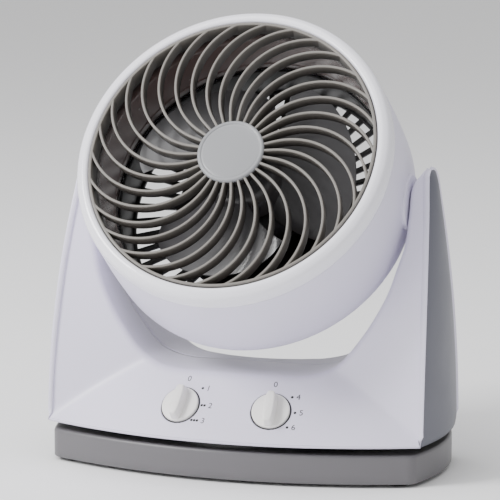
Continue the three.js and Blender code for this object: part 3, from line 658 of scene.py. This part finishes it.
    def cover(self, sign: float) -> bpy.types.Object:
        """A side cover: x = edge(z) + bulge(z) (1 - q^2), with q across the arm's depth.

        The bulge dies away over the arm's tip, and the rim is rounded.

        Args:
            sign: 1 for the right arm, -1 for the left.

        Returns:
            The thickened piece.
        """
        rows, columns = 120, 40
        top = self.tip_z + self.tip_radius - 0.9
        z = self.bottom + (top - self.bottom) * np.sin(np.linspace(0, math.pi / 2, rows)) ** 0.9
        z = z[:, None]
        margin = self.margin(z)
        up = np.clip(z - self.tip_z, 0, None)
        limit = np.where(
            z > self.tip_z,
            np.sqrt(np.clip((self.tip_radius - margin) ** 2 - up**2, 0.04, None)),
            1e3,
        )
        near = np.maximum(self.arm_front(z) + margin, self.tip_y - limit)
        far = np.minimum(self.arm_rear(z) - margin, self.tip_y + limit)
        q = np.sin(np.linspace(-math.pi / 2, math.pi / 2, columns))[None, :]
        y = (near + far) / 2 + (far - near) / 2 * q
        middle = (self.arm_front(z) + self.arm_rear(z)) / 2
        whole = (y - middle) / ((self.arm_rear(z) - self.arm_front(z)) / 2)
        bulge = (8.2 - 4 * self.rise(z)) * np.sqrt(1 - np.clip(up / self.tip_radius, 0, 1) ** 2)
        x = self.arm_edge(z) + bulge * (1 - whole**2)
        rim = np.minimum((far - near) / 2 * (1 - np.abs(q)), np.minimum(z - self.bottom, top - z))
        x = x - 0.8 * (1 - np.sqrt(1 - np.clip(1 - rim / 0.8, 0, 1) ** 2))
        points = np.stack(np.broadcast_arrays(sign * x, y + DEPTH_SHIFT, z), -1)
        name = "side_cover_right_skin" if sign > 0 else "side_cover_left_skin"
        skin = build(name, [Grid(points, flip=sign > 0)], COVER_GREY, closed=False)
        thicken(skin, 2.6)
        return skin

    def make(self) -> None:
        """Builds both shells and both covers."""
        settle(self.shell(Side.FRONT), "yoke", "yoke_white", "yoke_front")
        settle(self.shell(Side.REAR), "yoke", "yoke_white", "yoke_rear")
        settle(self.cover(1.0), "yoke", "cover_grey", "side_cover_right")
        settle(self.cover(-1.0), "yoke", "cover_grey", "side_cover_left")


# ---- knobs and their legends ------------------------------------------------------------------------
@dataclass
class Dial:
    """A rotary knob in its round seat, with a grip bar that points at a generic scale."""

    joint: str
    body: str
    node: str
    radius: float = 16.4
    bar_half: float = 5.0
    bar_reach: float = 15.6
    bar_top: float = 11.5

    def axes(self) -> Axes:
        """Axes on the panel: +Z out along the knob, +Y up the slope."""
        origin, inward = joint_axes(self.joint)
        out = -inward / np.linalg.norm(inward)
        across = np.cross([0, 0, 1.0], out)
        across = -across / np.linalg.norm(across) if across[0] < 0 else across / np.linalg.norm(across)
        return Axes(origin, np.array([across, np.cross(out, across), out]))

    def grip(self) -> Grid:
        """The grip bar: a rounded slot outline that shrinks as it rises, domed on top.

        x = w(h) |cos a|^p and y = l(h) |sin a|^p, each with the sign of its cosine or sine.
        """
        angle = np.linspace(0, TURN, 64, endpoint=False)
        power = 0.55
        c, s = np.cos(angle), np.sin(angle)
        flat = np.stack([np.sign(c) * np.abs(c) ** power * self.bar_half,
                         np.sign(s) * np.abs(s) ** power * self.bar_reach], -1)
        heights = np.array([0.5, 2.0, 4.0, 8.0, 10.0, 10.9, 11.3, self.bar_top, self.bar_top])
        width = np.array([1.1, 1.05, 1.0, 0.9, 0.86, 0.82, 0.75, 0.6, 0.0])
        reach = np.array([1.0, 1.0, 0.99, 0.96, 0.93, 0.9, 0.84, 0.7, 0.0])
        points = np.stack(
            np.broadcast_arrays(width[:, None] * flat[None, :, 0], reach[:, None] * flat[None, :, 1],
                                heights[:, None]), -1
        )
        return Grid(points, columns_closed=True, caps=True)

    def make(self) -> None:
        """Builds the knob and a black ring at the foot of its seat, which paints the shade in the gap round the
        knob.
        """
        axes = self.axes()
        skirt = fillet([(0, -1.2), (self.radius, -1.2), (self.radius, 2.2), (0, 2.9)], [0, 0.2, 1.2, 0], 6,
                       closed=False)
        knob = build(f"{self.node}_skin",
                     [moved(lathe(skirt, 96, closed=False), axes.place), moved(self.grip(), axes.place)],
                     KNOB_CREAM)
        settle(knob, self.body, "knob_cream", self.node)
        # painted shade: a black ring at the bottom of the gap between knob and seat
        rim = fillet([(16.7, -1.5), (17.45, -1.5), (17.45, 0.1), (16.7, -0.5)], 0.15, 3)
        ring = build(f"{self.node}_seat", [moved(lathe(rim, 96), axes.place)], BLACK_PLASTIC_AND_GAP_SHADE)
        settle(ring, "yoke", "black_plastic")


@dataclass
class Legend:
    """Small printed marks round one knob: a zero at rest and rows of dots with a figure beside them."""

    name: str
    joint: str
    marks: tuple
    figure_height: float = 5.2
    dot_radius: float = 1.2

    def dots(self, u: float, v: float, count: int) -> list:
        """Discs in a row on the panel.

        Args:
            u: place of the first one across.
            v: place of the row up the slope.
            count: number of discs.

        Returns:
            One grid for each disc.
        """
        angle = np.linspace(0, TURN, 20, endpoint=False)
        ring = np.stack([np.cos(angle), np.sin(angle), 0 * angle], -1) * self.dot_radius
        grids = []
        for k in range(count):
            centre = np.array([u + 2.6 * k, v, 0.0])
            grids.append(Grid(np.stack([ring + centre, ring * 0.02 + centre]), columns_closed=True))
        return grids

    def figure(self, text: str, u: float, v: float) -> np.ndarray:
        """Triangles of a printed figure.

        Args:
            text: the figure.
            u: its place across.
            v: its place up the slope.

        Returns:
            (n, 3, 3) points on the panel's plane.
        """
        curve = bpy.data.curves.new("figure", "FONT")
        curve.body = text
        curve.size = self.figure_height / 0.7
        curve.align_x = "LEFT"
        curve.align_y = "CENTER"
        carrier = bpy.data.objects.new("figure", curve)
        bpy.context.scene.collection.objects.link(carrier)
        bpy.context.view_layer.update()
        mesh = bpy.data.meshes.new_from_object(carrier.evaluated_get(bpy.context.evaluated_depsgraph_get()))
        mesh.calc_loop_triangles()
        points = np.zeros(len(mesh.vertices) * 3)
        mesh.vertices.foreach_get("co", points)
        corners = np.zeros(len(mesh.loop_triangles) * 3, np.int32)
        mesh.loop_triangles.foreach_get("vertices", corners)
        bpy.data.objects.remove(carrier)
        bpy.data.curves.remove(curve)
        bpy.data.meshes.remove(mesh)
        points = points.reshape(-1, 3) + [u, v, 0]
        return points[corners.reshape(-1, 3)]

    def make(self, yoke: Yoke, dial: Dial) -> None:
        """Lays the marks on the panel, just proud of it.

        Args:
            yoke: gives the panel's surface.
            dial: gives the axes that the marks are laid out in.
        """
        axes = dial.axes()
        grids, triangles = [], []
        for u, v, count, text in self.marks:
            grids += self.dots(u, v, count)
            if text:
                triangles.append(self.figure(text, u + 2.6 * count + 0.8, v))
        for figure in triangles:
            grids += [Grid(t[[0, 1, 2, 2]].reshape(2, 2, 3)[:, [0, 1]]) for t in figure]

        def on_panel(points: np.ndarray) -> np.ndarray:
            """Lays points of the dial's plane on the panel's surface."""
            placed = axes.place(points)
            placed[..., 1] = yoke.front(placed[..., 0], placed[..., 2]) + DEPTH_SHIFT - 0.09
            return placed

        marks_piece = build(self.name, [moved(g, on_panel) for g in grids], LEGEND_INK, closed=False)
        settle(marks_piece, "yoke", "black_plastic")


# ---- fan head ---------------------------------------------------------------------------------------
@dataclass
class Drum:
    """The drum-shaped housing: bezel, tapering shell with pivot bosses, and the duct inside."""

    seam: float = 64.0
    boss_radius: float = 24.0
    boss_face: float = 140.8

    def make(self) -> None:
        """Builds the turned pieces of the housing."""
        bezel = fillet(
            [(126.4, 66), (126.4, 78.4), (128.2, 80.4), (131.5, 80.4), (136.4, 77.8), (138.1, 71.5),
             (138.2, self.seam + 0.3),
             (135.7, self.seam + 0.3), (135.4, 72), (131.6, 77.8), (128.9, 77.8), (128.9, 66)],
            [0.4, 1.6, 1.5, 3, 3, 3, 0.3, 0.3, 1, 1, 0.3, 0.3], 5)
        settle(build("front_bezel_skin", [moved(lathe(bezel), HEAD.place)], BEZEL_WHITE), "head",
               "bezel_white", "front_bezel")

        shell = fillet(
            [(138.2, self.seam), (139.6, 20), (139.2, -14), (137.4, -24), (130.5, -33), (124.4, -33),
             (124.4, -30.5),
             (129.6, -30.6), (135, -22.6), (136.7, -13.5), (137.1, 20), (135.7, self.seam)],
            [0.5, 14, 8, 6, 3, 0.6, 0.5, 1, 3, 4, 10, 0.5], 6)
        grids = [moved(lathe(shell), HEAD.place)]
        for sign in (-1.0, 1.0):
            profile = fillet([(6.4, 133), (self.boss_radius, 131), (self.boss_radius, self.boss_face),
                              (6.4, self.boss_face)],
                             [0.2, 0.5, 1.6, 0.5], 6)
            boss = moved(lathe(profile, 96), lambda p: p[..., [2, 0, 1]] * [sign, 1, 1])
            grids.append(moved(boss, HEAD.place))
        settle(build("drum_shell_skin", grids, YOKE_WHITE), "head", "yoke_white", "drum_shell")

        duct = fillet([(124.8, 4.5), (124.8, 65.5), (122.6, 65.5), (122.6, 55), (122.9, 54), (122.9, 15),
                       (122.6, 14), (122.6, 4.5)],
                      0.4, 3)
        # painted shade: the duct darkens behind the grille ring and towards the rear
        shade = smooth_step((duct[:, 1] - 56) / 7)[None, :] * 0.85 + smooth_step((12 - duct[:, 1]) / 6)[None,
                                                                                                        :]
        settle(build("air_duct_skin", [moved(lathe(duct, shade=shade), HEAD.place)], DUCT_BROWN), "head",
               "duct_brown", "air_duct")


@dataclass
class Grille:
    """The front grille: thirty spokes that leave the hub straight and bend clockwise, inside a deep ring."""

    face: float = 80.0
    radius: float = 125.9
    hub_radius: float = 29.2
    count: int = 30
    width: float = 2.5
    depth: float = 11.0
    straight_to: float = 38.0
    bend: float = 61.2
    sweep_angle: float = math.radians(107)
    phase: float = math.radians(5.5)

    def spoke(self) -> Grid:
        """One spoke: a straight run, then an arc; x = s + b sin a, y = -b (1 - cos a)."""
        a = np.linspace(0, self.sweep_angle, 34)
        straight = np.linspace(self.hub_radius - 4, self.straight_to, 4, endpoint=False)
        x = np.concatenate([straight, self.straight_to + self.bend * np.sin(a)])
        y = np.concatenate([0 * straight, -self.bend * (1 - np.cos(a))])
        line = np.stack([x, y, np.full_like(x, self.face - self.depth / 2)], -1)
        ahead = np.gradient(line, axis=0)
        ahead /= np.linalg.norm(ahead, axis=1)[:, None]
        across = np.stack([-ahead[:, 1], ahead[:, 0], 0 * x], -1)
        w, d = self.width / 2, self.depth / 2
        section = fillet([(-w, d), (w, d), (w * 0.8, -d), (-w * 0.8, -d)], [0.95, 0.95, 0.4, 0.4], 4)
        # painted shade: the spoke's sides darken away from its lit front edge
        shade = smooth_step((d - 0.5 - section[:, 1]) / 1.6)[None, :]
        return sweep(line, across, np.array([0, 0, 1.0]), section, shade)

    def make(self) -> None:
        """Builds the grille in one piece and the cap on its hub."""
        f, r = self.face, self.radius
        grids = [spun(self.spoke(), self.phase + TURN * k / self.count) for k in range(self.count)]
        ring = fillet([(r, f - 14), (r, f + 0.1), (r - 2.6, f + 0.1), (r - 3.4, f - 14)],
                      [0.4, 0.9, 0.9, 0.4], 4)
        # painted shade: the ring darkens deeper into the grille
        grids.append(lathe(ring, shade=smooth_step((f - 1.5 - ring[:, 1]) / 3.0)[None, :]))
        base = fillet([(0, f - 2.3), (28.8, f - 2.3), (28.6, f - self.depth), (0, f - self.depth)], 0.4, 3,
                      closed=False)
        # painted shade: the hub base behind the cap is nearly all deep colour
        grids.append(lathe(base, 96, closed=False, shade=0.9 + 0 * base[:, 0][None, :]))
        grille = build("front_grille_skin", [moved(g, HEAD.place) for g in grids], GRILLE_GREY)
        settle(grille, "head", "grille_grey", "front_grille")
        h = self.hub_radius
        cap = fillet([(0, f - 2.1), (h, f - 2.1), (h, f + 0.4), (h - 1.6, f + 1.4), (h - 3.0, f + 1.2),
                      (h - 3.6, f + 0.7),
                      (h - 5, f + 0.9), (0, f + 1.4)], [0, 0.3, 0.9, 0.6, 0.3, 0.3, 0.3, 0], 5, closed=False)
        settle(build("hub_cap_skin", [moved(lathe(cap, 120, closed=False), HEAD.place)], CAP_GREY), "head",
               "cap_grey", "hub_cap")


@dataclass
class RearGuard:
    """The black rear guard: deep rim, motor cup and a disc slotted near its edge."""

    back: float = -34.5
    thick: float = 3.0
    outer: float = 122.4
    cup: float = 47.0
    ribs: int = 48
    rib_half: float = 2.4
    slots_from: float = 81.3
    slots_to: float = 117.7

    def make(self) -> None:
        """Builds the guard as one mesh of turned rings and swept ribs."""
        low, high = self.back, self.back + self.thick
        grids = [lathe(fillet([(120.2, low + 0.5), (self.outer, low + 0.5), (self.outer, 4), (120.2, 4)], 0.5,
                              3), 144)]
        grids.append(lathe(fillet([(0, low), (self.cup, low), (self.cup, -12), (44.6, -12), (44.6, high),
                                   (0, high)],
                                  [0, 1.2, 0.5, 0.5, 0.5, 0], 4, closed=False), 96, closed=False))
        for inner, outer in ((self.cup - 1, self.slots_from), (self.slots_to, 121.0)):
            ring = [(inner, low), (outer, low), (outer, high), (inner, high)]
            grids.append(lathe(fillet(ring, 0.5, 3), 144))
        line = np.stack([np.linspace(self.slots_from - 1, self.slots_to + 1, 8), np.zeros(8),
                         np.full(8, (low + high) / 2)], -1)
        across = np.broadcast_to([0, 1.0, 0], line.shape)
        h = self.thick / 2
        section = fillet([(-self.rib_half, h), (self.rib_half, h), (self.rib_half, -h), (-self.rib_half, -h)],
                         0.5, 2)
        rib = sweep(line, across, np.array([0, 0, 1.0]), section)
        grids += [spun(rib, TURN * k / self.ribs) for k in range(self.ribs)]
        guard = build("rear_guard_skin", [moved(g, HEAD.place) for g in grids], BLACK_PLASTIC_AND_GAP_SHADE)
        settle(guard, "head", "black_plastic", "rear_guard")


@dataclass
class Rotor:
    """Propeller with three broad blades on a round hub."""

    root: float = 31.0
    tip: float = 97.0
    blades: int = 3
    half_angle: float = math.radians(50)
    middle: float = 31.0

    def blade(self) -> Grid:
        """One blade: radius and height over the angle round the axis, x = -1..1 from edge to edge.

        The tip is drawn in by 12 x^4, the height climbs evenly with x over a camber of 3 (1 - x^2),
        and the two sides stand off it by the half-ellipse of x.
        """
        out = np.linspace(0, 1, 30)[:, None]
        around = np.linspace(0, TURN, 96, endpoint=False)[None, :]
        x, side = np.cos(around), np.sin(around)
        radius = self.root + (self.tip - 12 * x**4 - self.root) * out
        climb = 14 + 8 * out
        height = self.middle + climb * x + 3 * (1 - x**2) + side * (1.5 - 0.5 * out)
        turn = self.half_angle * x + 0.3 * out
        return Grid(np.stack([radius * np.cos(turn), radius * np.sin(turn), height], -1), columns_closed=True,
                    caps=True)

    def make(self) -> None:
        """Builds the propeller and its nut."""
        hub = fillet([(4.3, 15), (31, 15), (34, 18), (34, 40), (30, 46), (4.3, 50)],
                     [0.3, 1.5, 1.5, 5, 5, 0.5], 6)
        grids = [lathe(hub, 120)]
        grids += [spun(self.blade(), TURN * k / self.blades) for k in range(self.blades)]
        propeller = build("propeller_skin", [moved(g, HEAD.place) for g in grids], BLADE_GREY)
        settle(propeller, "rotor", "blade_grey", "propeller")
        nut = fillet([(4.2, 50.4), (9, 50.4), (9, 55.4), (7.6, 57), (4.2, 57)], [0.3, 0.6, 1.2, 1.2, 0.4], 4)
        settle(build("spinner_nut_skin", [moved(lathe(nut, 64), HEAD.place)], BLACK_PLASTIC_AND_GAP_SHADE), "rotor",
               "black_plastic", "spinner_nut")


# ---- studio -----------------------------------------------------------------------------------------
@dataclass
class Studio:
    """Pale floor, soft lights and a long lens looking a little down on the fan."""

    camera_place: tuple = (0.7730, -2.2916, 0.5821)
    aim: tuple = (0.0027, -0.00285, 0.1874)
    lens: float = 204.7

    def lamp(self, name: str, place: tuple, size: float, power: float, target: tuple = (0, 0, 0.2)) -> None:
        """Adds a square area lamp.

        Args:
            name: its name.
            place: where it hangs, in metres.
            size: length of its side, in metres.
            power: its power in watts.
            target: the point it faces.
        """
        data = bpy.data.lights.new(name, "AREA")
        data.size = size
        data.energy = power
        lamp = bpy.data.objects.new(name, data)
        bpy.context.scene.collection.objects.link(lamp)
        lamp.location = place
        lamp.rotation_euler = self.facing(place, target)

    @staticmethod
    def facing(place: tuple, target: tuple) -> Euler:
        """Rotation that turns an object's -Z from place to target."""
        return (Vector(target) - Vector(place)).to_track_quat("-Z", "Y").to_euler()

    def make(self) -> None:
        """Builds floor, light and camera."""
        half = 6.0
        mesh = bpy.data.meshes.new("floor")
        mesh.from_pydata([(-half, -half, 0), (half, -half, 0), (half, half, 0), (-half, half, 0)], [],
                         [(0, 1, 2, 3)])
        floor = bpy.data.objects.new("floor", mesh)
        bpy.context.scene.collection.objects.link(floor)
        mesh.materials.append(Finish("floor_pale", "", linear(250, 250, 251), 0.9, drift=0.005,
                                     grain=0.01).material())

        world = bpy.data.worlds.new("studio")
        world.use_nodes = True
        world.node_tree.nodes["Background"].inputs["Color"].default_value = (1, 1, 1, 1)
        world.node_tree.nodes["Background"].inputs["Strength"].default_value = 0.72
        bpy.context.scene.world = world
        self.lamp("key", (-1.7, -1.5, 1.9), 0.9, 80)
        self.lamp("top", (-0.3, -0.3, 2.4), 1.4, 28)
        self.lamp("front", (-1.6, -2.2, 0.8), 1.0, 14)

        data = bpy.data.cameras.new("camera")
        data.lens = self.lens
        data.sensor_width = 36
        data.clip_end = 30
        camera = bpy.data.objects.new("camera", data)
        bpy.context.scene.collection.objects.link(camera)
        camera.location = self.camera_place
        camera.rotation_euler = self.facing(self.camera_place, self.aim)
        bpy.context.scene.camera = camera


def dress_frame() -> None:
    """Gives every node of the frame the finish of its material slot."""
    for part in frame["record"]["subparts"]:
        node = frame["nodes"][part["node"]]
        node.data.materials.clear()
        node.data.materials.append(FINISHES[part["material_slot"]].material())


def main() -> None:
    """Builds the fan piece by piece, then the studio."""
    logging.basicConfig(level=logging.INFO, format="%(message)s")
    dress_frame()
    Plinth().make()
    yoke = Yoke()
    yoke.make()
    speed = Dial("speed_turn", "speed_dial", "speed_knob")
    mode = Dial("mode_turn", "mode_dial", "mode_knob")
    speed.make()
    mode.make()
    Legend("speed_legend", "speed_turn",
           ((-2.0, 26, 0, "0"), (15.5, 18, 1, "1"), (19.5, 1.5, 2, "2"), (14.5, -13.5, 3, "3"))
           ).make(yoke, speed)
    Legend("mode_legend", "mode_turn",
           ((-2.0, 26, 0, "0"), (16.5, 14.5, 1, "4"), (20.8, -0.5, 1, "5"), (16.0, -14.8, 1, "6"))
           ).make(yoke, mode)
    Drum().make()
    Grille().make()
    RearGuard().make()
    Rotor().make()
    Studio().make()


if __name__ == "__main__":
    main()
